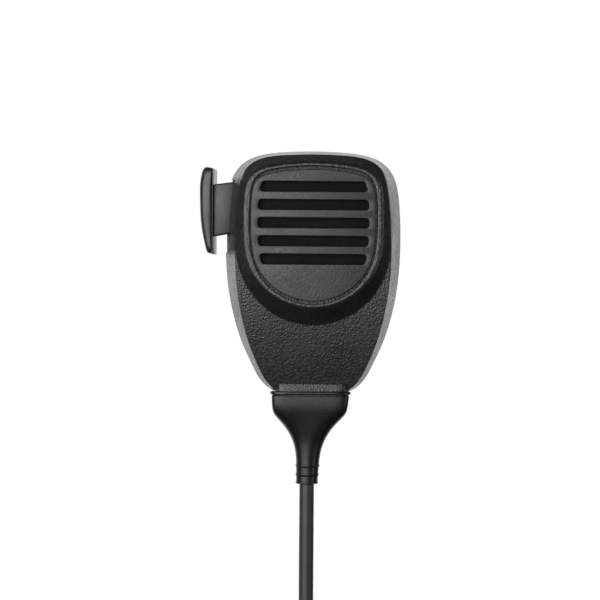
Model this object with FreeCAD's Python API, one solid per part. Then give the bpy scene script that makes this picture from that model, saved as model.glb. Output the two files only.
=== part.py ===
import FreeCAD, Part
import math
import os

from FreeCAD import Vector

# Hand microphone for a mobile radio, hanging by the button on its back. Millimetres. +X is to the right
# and +Z up as the front is looked at, and the front faces -Y. The origin is the middle of the button's head.

# Depths through the case, front to back
PLATFORM_Y = -41.2      # front of the raised grille platform
FACE_Y = -37.0          # front face beside the platform
PART_Y = -22.0          # parting plane of the two shells
REAR_Y = -5.0           # flat back of the rear shell
WALL = 2.2              # shell wall

# Case outline at the parting plane: right half from the top to the bottom, as (x, z)
CASE_HALF = [
    (0.0, 23.5), (10.0, 23.2), (18.0, 22.3), (23.7, 20.4), (27.8, 17.2), (30.1, 13.2), (31.55, 6.5),
    (32.3, -7.8), (31.5, -24.5), (29.1, -37.6), (25.3, -49.0), (20.9, -58.0), (16.9, -63.4),
    (9.8, -66.4), (0.0, -67.0),
]
FRONT_SIDE_INSET = 3.8  # the front edge is this far inside the outline at the sides
FRONT_END_INSET = 1.85   # and this far at the top and bottom
REAR_INSET = 2.0        # the back edge is this far inside it, all round
FACE_BEND_Z = -5.0      # below this the front face curves back towards the neck
FACE_BEND_R = 200.0
REAR_BEND_Z = -8.0      # below this the back slopes forward to the neck
REAR_BEND_R = 60.0
REAR_NECK_Y = -14.4
REAR_ROUND_R = 4.5

# Grille platform, a rounded shield: right half about its centre, as (x, z)
RING_Z = -7.8
PLATFORM_HALF = [
    (0.0, 26.3), (9.4, 25.75), (16.0, 24.7), (20.9, 22.7), (23.9, 19.0), (25.0, 13.6), (25.25, 6.5),
    (25.1, -0.5), (24.0, -8.7), (21.2, -15.1), (16.9, -20.2), (9.1, -24.9), (0.0, -26.6),
]
PLATFORM_SLOPE = 0.83   # how far the platform's flank spreads for each millimetre of depth
POCKET_Y = -37.3        # floor of the pocket that holds panel, cloth and foam
POCKET_INSETS = (2.0, 1.3)
PANEL_INSETS = (2.5, 2.45)
PANEL_THICK = 2.0
SLOT_PITCH = 6.6
SLOT_TALL = 3.6
SLOT_TOP_Z = 9.7        # middle of the top slot
# Each slot's half widths at its top and at its bottom
SLOT_HALVES = [(18.9, 19.5), (19.95, 20.15), (20.2, 20.2), (20.1, 19.9), (19.35, 18.9)]
SLOT_ROUND_R = 1.2

# Neck and boot
NECK_Z = -64.9          # bottom of the case
LIP_Z = -62.2
LIP_HALF = (12.7, 8.2)
BOOT_LEAN = (-0.5, -1.6)  # x of the boot's middle at its top and at its end
BOOT_TOP_Z = -65.3
BOOT_END_Z = -99.5
BOOT_SECTIONS = [       # z, half width, half depth, squareness
    (-66.3, 14.3, 7.9, 5.5), (-69.5, 14.1, 7.8, 5.5), (-72.0, 13.75, 7.5, 5.0), (-74.2, 12.7, 7.0, 4.2),
    (-76.8, 10.4, 6.4, 3.2), (-80.0, 7.85, 5.7, 2.5), (-83.6, 5.9, 5.0, 2.1), (-88.0, 4.65, 4.5, 2.0),
    (-93.0, 4.2, 4.2, 2.0), (-99.5, 3.9, 3.9, 2.0),
]
RIB_ZS = (-92.7, -95.9, -99.1)
RIB_PROUD = 0.25
CORD_R = 2.7
CORE_TOP_Z = -46.0
HEADER_LOW_Z = -40.4
CLAMP_Z = -51.5
CLAMP_BACK_Y = -22.4
CLAMP_XS = (-7.0, 7.0)

# Push-to-talk bar: pad, stem, lever and switch
PIVOT = (-23.5, -30.0)  # x, z of the lever's pin, which runs along Y
PIN_R = 1.25
PIN_BACK_Y = -11.4
STEM_Y = (-27.0, -19.4)
PAD_Y = (-29.8, -14.2)
PAD_BACKING_Z = (-14.9, 17.6)
NOTCH_Z = (-14.2, 12.6)  # opening in the case's side for the stem
LEVER_Y = (-24.6, -19.4)
LEVER_PLATE_X = -29.0
PEG_ZS = (-3.0, 7.0)
SWITCH_Z = -12.3
SWITCH_Y = -22.0
SWITCH_X = (-16.5, -4.5)
PLUNGER_TIP_X = -18.65

# Board
BOARD_Y = (-18.3, -16.7)
BOARD_HALF = 17.0
BOARD_Z = (-41.2, 11.0)
BOARD_SCREWS = [(-13.5, 7.5), (13.5, 7.5), (12.5, -28.0)]

# Fasteners
CASE_SCREWS = [(-19.0, 15.6), (19.0, 15.6), (-16.8, -45.5), (16.8, -45.5)]
SCREW_SEAT_DEPTH = 6.0  # the seats are this deep below the back's surface
SCREW_R = 1.45
SCREW_TIP_Y = -28.0
HEAD_R = 2.7

# Cord below the boot: routes as (x, y, z)
CURLY_R = 7.75
LEAD_END_Z = -160.0
CURLY_ROUTE = [
    (-1.6, -22.0, -160.0), (-0.9, -22.5, -212.0), (1.2, -22.3, -246.0), (2.6, -22.0, -270.0),
    (-9.2, -21.6, -282.4), (-25.8, -21.2, -282.8), (-37.4, -21.0, -270.6), (-36.9, -21.3, -248.0),
    (-35.2, -21.8, -216.0), (-33.8, -22.0, -182.0),
]
TAIL_ROUTE = [
    (-33.8, -22.0, -182.0), (-33.6, -22.0, -166.4), (-25.9, -14.8, -156.0), (-15.0, -4.7, -155.8),
    (-7.4, 2.4, -166.2), (-7.0, 3.0, -186.0), (-7.8, 2.6, -214.0),
]
TIE_Z = (-207.0, -194.0)
TIE_THICK = 1.4


# ---- small makers ----

def box(xs, ys, zs):
    size = [abs(b - a) for a, b in (xs, ys, zs)]
    return Part.makeBox(*size, Vector(min(xs), min(ys), min(zs)))


def rod(start, end, radius):
    start, end = Vector(*start), Vector(*end)
    return Part.makeCylinder(radius, (end - start).Length, start, end - start)


def rod_y(x, z, y_from, y_to, radius):
    return rod((x, y_from, z), (x, y_to, z), radius)


def prism_x(points, half):
    """Solid between -half and half on X, from its (y, z) corners."""
    corners = [Vector(-half, y, z) for y, z in points]
    return Part.Face(Part.makePolygon(corners + corners[:1])).extrude(Vector(2 * half, 0, 0))


def prism_y(points, ys):
    """Solid between two depths, from its (x, z) corners."""
    corners = [Vector(x, min(ys), z) for x, z in points]
    return Part.Face(Part.makePolygon(corners + corners[:1])).extrude(Vector(0, abs(ys[1] - ys[0]), 0))


def smooth_loop(points):
    curve = Part.BSplineCurve()
    curve.interpolate(Points=points, PeriodicFlag=True)
    return curve


def outline(half, y, side=0.0, end=0.0, z0=0.0, steps=24):
    """Closed wire at depth y from a right half and its mirror image, moved in by side and end."""
    curve = Part.BSplineCurve()
    across = Vector(1, 0, 0)
    curve.interpolate(
        Points=[Vector(x, 0, z + z0) for x, z in half], InitialTangent=across, FinalTangent=-across
    )
    points = []
    for i in range(steps + 1):
        place = curve.FirstParameter + (curve.LastParameter - curve.FirstParameter) * i / steps
        along = curve.tangent(place)[0]
        inset = math.copysign(math.hypot(side * along.z, end * along.x), side)
        points.append(curve.value(place) - Vector(-along.z, 0, along.x) * inset + Vector(0, y, 0))
    right = Part.BSplineCurve()
    right.interpolate(Points=points, InitialTangent=across, FinalTangent=-across)
    edge = right.toShape()
    return Part.Wire([edge, edge.mirror(Vector(0, 0, 0), across)])


def between(first, second):
    return Part.makeLoft([first, second], True, True)


def squircle(z, half_x, half_y, power, middle, count=32):
    """Closed wire across the cord's direction: round at power 2, squarer above it."""
    points = []
    for i in range(count):
        turn = 2 * math.pi * i / count
        c, s = math.cos(turn), math.sin(turn)
        reach = (abs(c) ** power + abs(s) ** power) ** (-1 / power)
        points.append(Vector(middle[0] + half_x * reach * c, middle[1] + half_y * reach * s, z))
    return Part.Wire(smooth_loop(points).toShape())


def save(name, *shapes):
    shape = shapes[0] if len(shapes) == 1 else Part.makeCompound(list(shapes))
    shape.exportStep(f"parts/{name}.step")


# ---- shells ----

def front_sides(inset):
    """Drafted side wall of the front shell, as a solid from the parting plane to past the platform."""
    end_y = PLATFORM_Y - 2.0
    depth = (PART_Y - end_y) / (PART_Y - FACE_Y)
    return between(
        outline(CASE_HALF, PART_Y, inset, inset),
        outline(CASE_HALF, end_y, inset + depth * FRONT_SIDE_INSET, inset + depth * FRONT_END_INSET),
    )


def behind_face(inset):
    """Everything behind the front face, which is flat at the top and curves back below."""
    radius = FACE_BEND_R - inset
    y = FACE_Y + inset
    low_z = CASE_HALF[-1][1] - 4.0

    def arc_point(z):
        drop = FACE_BEND_Z - z
        return Vector(-60, y + radius - math.sqrt(radius ** 2 - drop ** 2), z)

    top, bend = Vector(-60, y, 40), Vector(-60, y, FACE_BEND_Z)
    middle, low = arc_point((FACE_BEND_Z + low_z) / 2), arc_point(low_z)
    back_low, back_top = Vector(-60, PART_Y, low_z), Vector(-60, PART_Y, 40)
    edges = [
        Part.makeLine(top, bend), Part.Arc(bend, middle, low).toShape(), Part.makeLine(low, back_low),
        Part.makeLine(back_low, back_top), Part.makeLine(back_top, top),
    ]
    return Part.Face(Part.Wire(edges)).extrude(Vector(120, 0, 0))


def platform():
    deep = 15.0
    spread = -PLATFORM_SLOPE * deep
    return between(
        outline(PLATFORM_HALF, PLATFORM_Y, z0=RING_Z),
        outline(PLATFORM_HALF, PLATFORM_Y + deep, spread, spread, z0=RING_Z),
    )


def plate(insets, y_front, y_back):
    """Slab with the platform's outline, moved in."""
    face = Part.Face(outline(PLATFORM_HALF, y_front, *insets, z0=RING_Z))
    return face.extrude(Vector(0, y_back - y_front, 0))


def rear_y(z):
    """Depth of the back's surface, flat at the top and sloping forward below."""
    slope = (REAR_NECK_Y - REAR_Y) / (NECK_Z - REAR_BEND_Z)
    return REAR_Y + slope * min(0.0, z - REAR_BEND_Z)


def seat_y(z):
    return rear_y(z) - SCREW_SEAT_DEPTH


def rear_solid(inset):
    """Rear shell's outer solid, or the space inside it at an inset."""
    sides = between(
        outline(CASE_HALF, PART_Y, inset, inset),
        outline(CASE_HALF, REAR_Y + 1.0, inset + REAR_INSET, inset + REAR_INSET),
    )
    low_z = CASE_HALF[-1][1] - 4.0
    turn = math.atan2(REAR_Y - REAR_NECK_Y, REAR_BEND_Z - NECK_Z)
    reach = REAR_BEND_R * math.tan(turn / 2)
    deep = REAR_BEND_R * (1 - math.cos(turn / 2))
    bend = Vector(-60, REAR_Y - inset, REAR_BEND_Z + reach)
    middle = bend - Vector(0, deep, REAR_BEND_R * math.sin(turn / 2))
    slope = Vector(-60, REAR_Y - inset - reach * math.sin(turn), REAR_BEND_Z - reach * math.cos(turn))
    top, low = Vector(-60, REAR_Y - inset, 40), Vector(-60, rear_y(low_z) - inset, low_z)
    front_low, front_top = Vector(-60, PART_Y, low_z), Vector(-60, PART_Y, 40)
    edges = [
        Part.makeLine(top, bend), Part.Arc(bend, middle, slope).toShape(), Part.makeLine(slope, low),
        Part.makeLine(low, front_low), Part.makeLine(front_low, front_top), Part.makeLine(front_top, top),
    ]
    return sides.common(Part.Face(Part.Wire(edges)).extrude(Vector(120, 0, 0)))


def neck_lip():
    wire = squircle(NECK_Z, *LIP_HALF, 10.0, (0, PART_Y), count=64)
    return Part.Face(wire).extrude(Vector(0, 0, LIP_Z - NECK_Z))


def neck_bore():
    wire = squircle(NECK_Z - 4, 9.0, 5.0, 5.0, (0, PART_Y))
    return Part.Face(wire).extrude(Vector(0, 0, 12.0))


def above_neck(shape):
    return shape.cut(box((-60, 60), (-60, 20), (NECK_Z, NECK_Z - 20)))


def ptt_notch():
    return box((-45, -24), (STEM_Y[0] - 0.6, STEM_Y[1] + 0.6), NOTCH_Z)


def screw_post(x, z, y_from, y_to, radius, bore):
    return rod_y(x, z, y_from, y_to, radius).cut(rod_y(x, z, y_from, y_to, bore))


def front_case():
    shell = front_sides(0).common(behind_face(0).fuse(platform())).fuse(neck_lip())
    shell = above_neck(shell).common(box((-60, 60), (-60, PART_Y), (-90, 40)))
    room = front_sides(WALL).common(behind_face(WALL)).common(box((-60, 60), (-60, 0), (-58.5, 40)))
    room = room.common(box((-60, 60), (-35.2, PART_Y), (-60, 40)))
    shell = shell.cut(room).cut(plate((5.5, 5.5), -35.5, -34.0)).cut(plate(POCKET_INSETS, -45.0, POCKET_Y))
    shell = shell.cut(neck_bore()).cut(rod_y(0, RING_Z, -38, -34, 6.5))
    posts = [screw_post(x, z, -32.5, PART_Y, 3.0, SCREW_R + 0.05) for x, z in CASE_SCREWS]
    posts += [screw_post(x, CLAMP_Z, -32.5, -24.9, 2.4, 1.05) for x in CLAMP_XS]
    posts.append(screw_post(0, RING_Z, -36.0, -30.0, 9.8, 8.2))
    posts.append(screw_post(*PIVOT, -32.5, -26.0, 2.6, PIN_R + 0.03))
    solid_room = front_sides(WALL / 2).common(behind_face(WALL / 2))
    for post in posts:
        shell = shell.fuse(post.common(solid_room))
    return shell.cut(ptt_notch())


def rear_case():
    outer = rear_solid(0)
    back = [e for e in outer.Edges if e.BoundBox.YMin > REAR_NECK_Y - 1.5 and len(e.Vertexes) == 2]
    back = [e for e in back if e.BoundBox.ZLength > 0.1]
    outer = above_neck(outer.makeFillet(REAR_ROUND_R, back).fuse(neck_lip()))
    outer = outer.common(box((-60, 60), (PART_Y, 20), (-90, 40)))
    room = rear_solid(WALL).common(box((-60, 60), (PART_Y, 0), (-58.5, 40)))
    room_edges = [e for e in room.Edges if e.BoundBox.YMin > REAR_NECK_Y - 3.5 and len(e.Vertexes) == 2]
    room = room.makeFillet(REAR_ROUND_R - 1.5, [e for e in room_edges if e.BoundBox.ZLength > 0.1])
    shell = outer.cut(room).cut(neck_bore())
    shell = shell.fuse(rod_y(0, 0, -9.2, REAR_Y - 0.5, 7.0)).cut(rod_y(0, 0, -12, 0, 2.55))
    for x, z in CASE_SCREWS:
        shell = shell.fuse(rod_y(x, z, PART_Y, rear_y(z), 3.9).common(rear_solid(0.3)))
        shell = shell.cut(rod_y(x, z, PART_Y, 0, SCREW_R + 0.2)).cut(rod_y(x, z, seat_y(z), 0, 3.2))
    for x, z in BOARD_SCREWS:
        shell = shell.fuse(screw_post(x, z, BOARD_Y[1], REAR_Y - 1.0, 2.4, 1.05).common(rear_solid(0.3)))
    pin_post = rod_y(*PIVOT, -15.8, REAR_Y, 2.6).common(rear_solid(0.3))
    return shell.fuse(pin_post).cut(rod_y(*PIVOT, -16, PIN_BACK_Y, PIN_R + 0.03)).cut(ptt_notch())


# ---- grille and microphone ----

def slot_solid(z, half_top, half_low):
    """One slot's cutter, with nearly upright ends and rounded corners."""
    high, low = z + SLOT_TALL / 2, z - SLOT_TALL / 2
    corners = [(-half_top, high), (half_top, high), (half_low, low), (-half_low, low)]
    band = prism_y(corners, (PLATFORM_Y - 1, PLATFORM_Y + 4))
    return band.makeFillet(SLOT_ROUND_R, [e for e in band.Edges if e.BoundBox.YLength > 4.5])


def grille_panel():
    panel = plate(PANEL_INSETS, PLATFORM_Y + 0.1, PLATFORM_Y + 0.1 + PANEL_THICK)
    for i, halves in enumerate(SLOT_HALVES):
        panel = panel.cut(slot_solid(SLOT_TOP_Z - i * SLOT_PITCH, *halves))
    return panel


def microphone():
    back = PLATFORM_Y + 0.1 + PANEL_THICK
    save("grille_cloth", plate((3.2, 3.2), back, back + 0.3))
    save("sound_foam", plate((3.6, 3.6), back + 0.3, POCKET_Y))
    cup = rod_y(0, RING_Z, -35.4, -27.8, 8.1).cut(rod_y(0, RING_Z, -35.0, -29.6, 4.9))
    save("mic_holder", cup.cut(rod_y(0, RING_Z, -35.7, -34.2, 3.4)).cut(rod_y(0, RING_Z, -30, -27, 2.6)))
    save("mic_capsule", rod_y(0, RING_Z, -34.9, -29.8, 4.85))
    leads = [rod((x, -29.8, RING_Z), (x, BOARD_Y[0], RING_Z), 0.45) for x in (-1.3, 1.3)]
    save("capsule_leads", *leads)


# ---- board, cord end and clamp ----

def board():
    slab = box((-BOARD_HALF, BOARD_HALF), BOARD_Y, BOARD_Z)
    for x, z in BOARD_SCREWS:
        slab = slab.cut(rod_y(x, z, -20, -15, 1.15))
    save("circuit_board", slab)
    screws = []
    for x, z in BOARD_SCREWS:
        head = rod_y(x, z, BOARD_Y[0] - 1.5, BOARD_Y[0], 2.0).cut(cross_recess(x, z, BOARD_Y[0] - 1.5, 1))
        screws.append(head.fuse(rod_y(x, z, BOARD_Y[0], BOARD_Y[1] + 5.0, 1.0)))
    save("board_screws", *screws)
    front = BOARD_Y[0]
    chips = [box((-3, 4), (front - 1.6, front), (-22, -16)), box((8, 13), (front - 1.4, front), (-6, -1))]
    chips += [box((x, x + 2), (front - 0.9, front), (-26.5, -25.3)) for x in (-10, -6, -2, 2)]
    chips += [rod_y(x, z, front - 4.5, front, 2.0) for x, z in ((9.0, 4.0), (10.5, -13.0), (-7.0, 3.0))]
    save("board_parts", *chips)
    save("cord_header", box((-8, 8), (front - 3.5, front), (-40.8, -36)))
    save("header_plug", box((-7.5, 7.5), (front - 8.0, front - 3.5), (HEADER_LOW_Z, -36.5)))


def cross_recess(x, z, y_face, inwards):
    """Cross-shaped driver recess, cut into a screw head along Y."""
    ys = (y_face - 0.2, y_face + inwards) if inwards > 0 else (y_face + inwards, y_face + 0.2)
    return box((x - 1.3, x + 1.3), ys, (z - 0.3, z + 0.3)).fuse(
        box((x - 0.3, x + 0.3), ys, (z - 1.3, z + 1.3))
    )


def core_x(z):
    """Middle of the boot and of the cord in it, which lean a little to one side."""
    share = (z - BOOT_TOP_Z) / (BOOT_END_Z - BOOT_TOP_Z)
    return BOOT_LEAN[0] + share * (BOOT_LEAN[1] - BOOT_LEAN[0])


def leaning_rod(z_top, z_low, radius):
    ends = [
        Part.Wire(Part.makeCircle(radius, Vector(core_x(z), PART_Y, z), Vector(0, 0, 1)))
        for z in (z_low, z_top)
    ]
    return Part.makeLoft(ends, True, True)


def cord_end():
    save("cord_core", leaning_rod(CORE_TOP_Z, BOOT_END_Z, CORD_R))
    wires = []
    for i in range(8):
        turn = math.radians(180 - i * 180 / 7)
        start = (core_x(CORE_TOP_Z) + 2.0 * math.cos(turn), PART_Y - 1.2 * math.sin(turn), CORE_TOP_Z + 0.25)
        wires.append(rod(start, (-5.25 + 1.5 * i, -24.0, HEADER_LOW_Z - 0.25), 0.3))
    save("cord_wires", *wires)
    clamp = box((-9.5, 9.5), (-24.9, CLAMP_BACK_Y), (CLAMP_Z - 3, CLAMP_Z + 3))
    clamp = clamp.cut(leaning_rod(CORE_TOP_Z, CLAMP_Z - 5, CORD_R + 0.02))
    screws = []
    for x in CLAMP_XS:
        clamp = clamp.cut(rod_y(x, CLAMP_Z, -26, -20, 1.1))
        shank = rod_y(x, CLAMP_Z, -28.6, CLAMP_BACK_Y, 1.0)
        screw = shank.fuse(rod_y(x, CLAMP_Z, CLAMP_BACK_Y, CLAMP_BACK_Y + 1.4, 2.0))
        screws.append(screw.cut(cross_recess(x, CLAMP_Z, CLAMP_BACK_Y + 1.4, -0.8)))
    save("cord_clamp", clamp)
    save("clamp_screws", *screws)


def cord_boot():
    rings = [squircle(z, a, b, n, (core_x(z), PART_Y)) for z, a, b, n in BOOT_SECTIONS]
    boot = Part.makeLoft(rings, True, False)
    rim = Part.Face(squircle(-66.4, 14.9, 8.5, 5.5, (BOOT_LEAN[0], PART_Y))).extrude(Vector(0, 0, 1.1))
    neck = Part.Face(squircle(-65.4, 8.9, 4.9, 5.0, (0, PART_Y))).extrude(Vector(0, 0, 7.1))
    flange = Part.Face(squircle(-58.4, 10.8, 5.5, 5.0, (0, PART_Y))).extrude(Vector(0, 0, 2.0))
    seat = Part.Face(squircle(-65.4, 13.4, 7.2, 5.5, (0, PART_Y))).extrude(Vector(0, 0, 0.45))
    boot = boot.fuse([rim, seat, neck, flange])
    for z in RIB_ZS:
        half = 4.05 + RIB_PROUD
        rib = Part.Face(squircle(z - 0.4, half, half, 2.0, (core_x(z), PART_Y))).extrude(Vector(0, 0, 0.8))
        boot = boot.fuse(rib)
    return boot.cut(leaning_rod(-55.0, BOOT_END_Z, CORD_R + 0.02))


# ---- push-to-talk ----

def ptt_knob():
    dome = [Vector(-37.2, 0, 17.2), Vector(-40.2, 0, 17.4), Vector(-41.4, 0, 14.6)]
    dome += [Vector(-41.8, 0, 6.0), Vector(-41.4, 0, -2.5), Vector(-39.6, 0, -12.4)]
    dome += [Vector(-38.6, 0, -14.4), Vector(-37.2, 0, -14.6)]
    spline = Part.BSplineCurve()
    spline.interpolate(Points=dome)
    face = Part.Face(Part.Wire([spline.toShape(), Part.makeLine(dome[-1], dome[0])]))
    face.translate(Vector(0, PAD_Y[0], 0))
    pad = face.extrude(Vector(0, PAD_Y[1] - PAD_Y[0], 0))
    front, back = PAD_Y[0] + 0.3, PAD_Y[1] - 0.3
    sides = [(-37.3, front), (-36.95, front), (-35.9, back), (-37.3, back), (-37.3, front)]
    low, high = PAD_BACKING_Z
    backing = Part.Face(Part.makePolygon([Vector(x, y, low) for x, y in sides]))
    plate_back = backing.extrude(Vector(0, 0, high - low))
    edge = LEVER_PLATE_X
    stem = prism_y([(-37.0, 10.8), (edge, 11.9), (edge, -6.85), (-31.6, -7.4), (-37.0, -8.5)], STEM_Y)
    knob = pad.fuse([plate_back, stem])
    for z in PEG_ZS:
        knob = knob.cut(rod((edge, SWITCH_Y, z), (edge - 4.3, SWITCH_Y, z), 1.05))
    return knob


def ptt_lever():
    plate_in = LEVER_PLATE_X + 2.6
    outline_points = [
        (LEVER_PLATE_X, 11.2), (plate_in, 11.2), (plate_in, -10.0), (-18.8, -11.7), (-18.8, -12.9),
        (plate_in + 0.8, -16.5), (PIVOT[0] + 3.1, PIVOT[1] + 2.0), (PIVOT[0] - 3.0, PIVOT[1] + 2.0),
        (LEVER_PLATE_X + 0.4, -8.0), (LEVER_PLATE_X, -5.0),
    ]
    lever = prism_y(outline_points, LEVER_Y).fuse(rod_y(*PIVOT, *LEVER_Y, 3.4))
    for z in PEG_ZS:
        lever = lever.fuse(rod((LEVER_PLATE_X + 0.5, SWITCH_Y, z), (LEVER_PLATE_X - 4.0, SWITCH_Y, z), 1.0))
    return lever.cut(rod_y(*PIVOT, -30, -10, PIN_R + 0.05))


def return_spring():
    x, z = PIVOT
    coil_r, wire_r, pitch, turns = 2.1, 0.3, 0.8, 3
    helix = Part.makeHelix(pitch, pitch * turns, coil_r)
    section = Part.Wire(Part.makeCircle(wire_r, Vector(coil_r, 0, 0), Vector(0, 1, 0)))
    coil = Part.Wire(helix).makePipeShell([section], True, True)
    coil.rotate(Vector(0, 0, 0), Vector(1, 0, 0), -90)
    coil.translate(Vector(x, -18.9, z))
    return coil


def push_to_talk():
    save("ptt_knob", ptt_knob())
    save("ptt_lever", ptt_lever())
    save("pivot_pin", rod_y(*PIVOT, -31.0, PIN_BACK_Y - 0.1, PIN_R))
    save("return_spring", return_spring())
    switch = box(SWITCH_X, (-24.8, BOARD_Y[0]), (SWITCH_Z - 3.2, SWITCH_Z + 3.2))
    save("ptt_switch", switch.cut(rod((-17, SWITCH_Y, SWITCH_Z), (-11.5, SWITCH_Y, SWITCH_Z), 1.25)))
    save("switch_plunger", rod((PLUNGER_TIP_X, SWITCH_Y, SWITCH_Z), (-13.5, SWITCH_Y, SWITCH_Z), 1.2))


# ---- hanger and case screws ----

def hanger():
    head = rod_y(0, 0, -1.3, 1.3, 8.0)
    head = head.makeFillet(0.5, [e for e in head.Edges if e.Length > 40 and e.BoundBox.YLength < 0.1])
    button = head.fuse([rod_y(0, 0, REAR_Y, -1.3, 4.5), rod_y(0, 0, -9.1, REAR_Y, 2.5)])
    save("hanger_button", button.cut(rod_y(0, 0, -9.5, -3.0, 1.5)))
    strap = [(-9.5, -3.6), (-9.5, 7.9), (-16.7, 10.0), (-16.7, 10.4), (-9.2, 8.2), (-9.2, -3.6)]
    save("ground_strap", prism_x(strap, 2.6).cut(rod_y(0, 0, -10, -9, 1.6)))
    save("hanger_washer", screw_post(0, 0, -10.1, -9.5, 2.9, 1.6))
    head = rod_y(0, 0, -12.1, -10.1, HEAD_R).cut(cross_recess(0, 0, -12.1, 1.2))
    save("hanger_screw", head.fuse(rod_y(0, 0, -10.1, -3.2, 1.45)))


def case_screws():
    screws = []
    for x, z in CASE_SCREWS:
        seat = seat_y(z)
        head = rod_y(x, z, seat, seat + 2.2, HEAD_R).cut(cross_recess(x, z, seat + 2.2, -1.4))
        screws.append(head.fuse(rod_y(x, z, SCREW_TIP_Y, seat, SCREW_R)))
    save("case_screws", *screws)


# ---- cord below the boot ----

def tube(name, route, radius):
    """Round tube along straight runs joined by tangent arcs, as large as the runs allow."""
    points = [Vector(*p) for p in route]
    edges, start, radii = [], points[0], []
    for before, corner, after in zip(points, points[1:], points[2:]):
        back, on = (before - corner).normalize(), (after - corner).normalize()
        half_turn = (math.pi - back.getAngle(on)) / 2
        reach = 0.45 * min((before - corner).Length, (after - corner).Length)
        radii.append(reach / math.tan(half_turn))
        first, last = corner + back * reach, corner + on * reach
        middle_way = (back + on).normalize()
        middle = corner + middle_way * (radii[-1] / math.cos(half_turn) - radii[-1])
        edges += [Part.makeLine(start, first), Part.Arc(first, middle, last).toShape()]
        start = last
    edges.append(Part.makeLine(start, points[-1]))
    path = Part.Wire(edges)
    section = Part.Wire(Part.makeCircle(radius, points[0], points[1] - points[0]))
    solid = path.makePipeShell([section], True, False)
    print(name, "radii", [round(r, 1) for r in radii], "length", round(path.Length, 1),
          "volume share", round(solid.Volume / (math.pi * radius ** 2 * path.Length), 4))
    return solid


def hull_loop(circles, z):
    """Closed wire of tangent lines and arcs round circles given counter-clockwise as (x, y, radius)."""
    normals = []
    for (x1, y1, r1), (x2, y2, r2) in zip(circles, circles[1:] + circles[:1]):
        way = math.atan2(y2 - y1, x2 - x1)
        normals.append(way - math.acos((r1 - r2) / math.hypot(x2 - x1, y2 - y1)))

    def at(circle, angle):
        x, y, r = circle
        return Vector(x + r * math.cos(angle), y + r * math.sin(angle), z)

    edges = []
    for i, circle in enumerate(circles):
        come, go = normals[i - 1], normals[i]
        go += 2 * math.pi * math.ceil((come - go) / (2 * math.pi))
        edges.append(Part.Arc(at(circle, come), at(circle, (come + go) / 2), at(circle, go)).toShape())
        edges.append(Part.makeLine(at(circle, go), at(circles[(i + 1) % len(circles)], normals[i])))
    return Part.Wire(edges)


def tie_circles(gap):
    return [(-1.2, -22.4, CURLY_R + gap), (-7.5, 2.7, CORD_R + gap), (-34.6, -21.9, CURLY_R + gap)]


def cord_tie():
    loops = [Part.Face(hull_loop(tie_circles(gap), TIE_Z[0])) for gap in (0.7 + TIE_THICK, 0.7)]
    outer, inner = (face.extrude(Vector(0, 0, TIE_Z[1] - TIE_Z[0])) for face in loops)
    return outer.cut(inner)


def plug():
    x, y, top = TAIL_ROUTE[-1]
    sleeve = Part.makeLoft(
        [squircle(top + 1.5, 3.6, 3.6, 2.0, (x, y)), squircle(top - 16.0, 5.4, 3.9, 4.0, (x, y))], True, True
    )
    save("plug_sleeve", sleeve.cut(rod((x, y, top + 2), (x, y, top), CORD_R + 0.02)))
    z_top, z_low = top - 16.0, top - 37.5
    body = box((x - 5.85, x + 5.85), (y - 3.3, y + 3.3), (z_low, z_top))
    slots = [x - 3.57 + 1.02 * i for i in range(8)]
    for s in slots:
        body = body.cut(box((s - 0.27, s + 0.27), (y - 3.4, y - 2.0), (z_low - 1, z_low + 6.5)))
    save("plug_body", body)
    contacts = [box((s - 0.2, s + 0.2), (y - 2.9, y - 2.05), (z_low + 0.4, z_low + 6.3)) for s in slots]
    save("plug_contacts", *contacts)
    latch_side = [(3.4, 1.0), (4.2, 1.0), (7.2, 17.0), (6.4, 17.4)]
    latch = prism_x([(y + out, z_low + up) for out, up in latch_side], 3.1)
    root = rod((-3.1, y + 3.8, z_low + 1.0), (3.1, y + 3.8, z_low + 1.0), 0.4)
    latch = latch.fuse(root)
    latch.translate(Vector(x, 0, 0))
    save("plug_latch", latch)


def cord():
    x = core_x(BOOT_END_Z)
    save("cord_lead", rod((x, PART_Y, LEAD_END_Z), (x, PART_Y, BOOT_END_Z), CORD_R))
    save("curly_cord", tube("curly_cord", CURLY_ROUTE, CURLY_R))
    save("cord_tail", tube("cord_tail", TAIL_ROUTE, CORD_R))
    save("cord_tie", cord_tie())
    plug()


os.makedirs("parts", exist_ok=True)
save("front_case", front_case())
save("rear_case", rear_case())
save("grille_panel", grille_panel())
microphone()
board()
cord_end()
save("cord_boot", cord_boot())
push_to_talk()
hanger()
case_screws()
cord()
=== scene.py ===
"""Looks of a hand microphone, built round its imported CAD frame.

Shapes are in millimetres until a piece is made.
"""
import math

import bmesh
import bpy
import numpy as np
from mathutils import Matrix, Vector


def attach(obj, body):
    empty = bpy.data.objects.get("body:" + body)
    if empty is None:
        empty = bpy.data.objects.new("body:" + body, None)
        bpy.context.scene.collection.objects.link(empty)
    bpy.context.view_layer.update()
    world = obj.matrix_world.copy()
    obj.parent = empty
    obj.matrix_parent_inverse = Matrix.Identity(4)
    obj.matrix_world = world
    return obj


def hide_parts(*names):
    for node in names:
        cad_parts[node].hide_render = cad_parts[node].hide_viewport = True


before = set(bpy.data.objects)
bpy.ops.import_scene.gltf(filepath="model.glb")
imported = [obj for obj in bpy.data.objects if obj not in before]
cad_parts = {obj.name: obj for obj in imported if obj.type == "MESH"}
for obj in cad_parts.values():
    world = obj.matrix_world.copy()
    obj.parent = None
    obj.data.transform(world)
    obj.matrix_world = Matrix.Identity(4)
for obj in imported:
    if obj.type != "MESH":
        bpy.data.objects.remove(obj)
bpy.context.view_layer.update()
MM = 0.001
TAU = 2 * math.pi

# ---- camera: level, in front of the case, rolled by about half a degree ----

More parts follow.
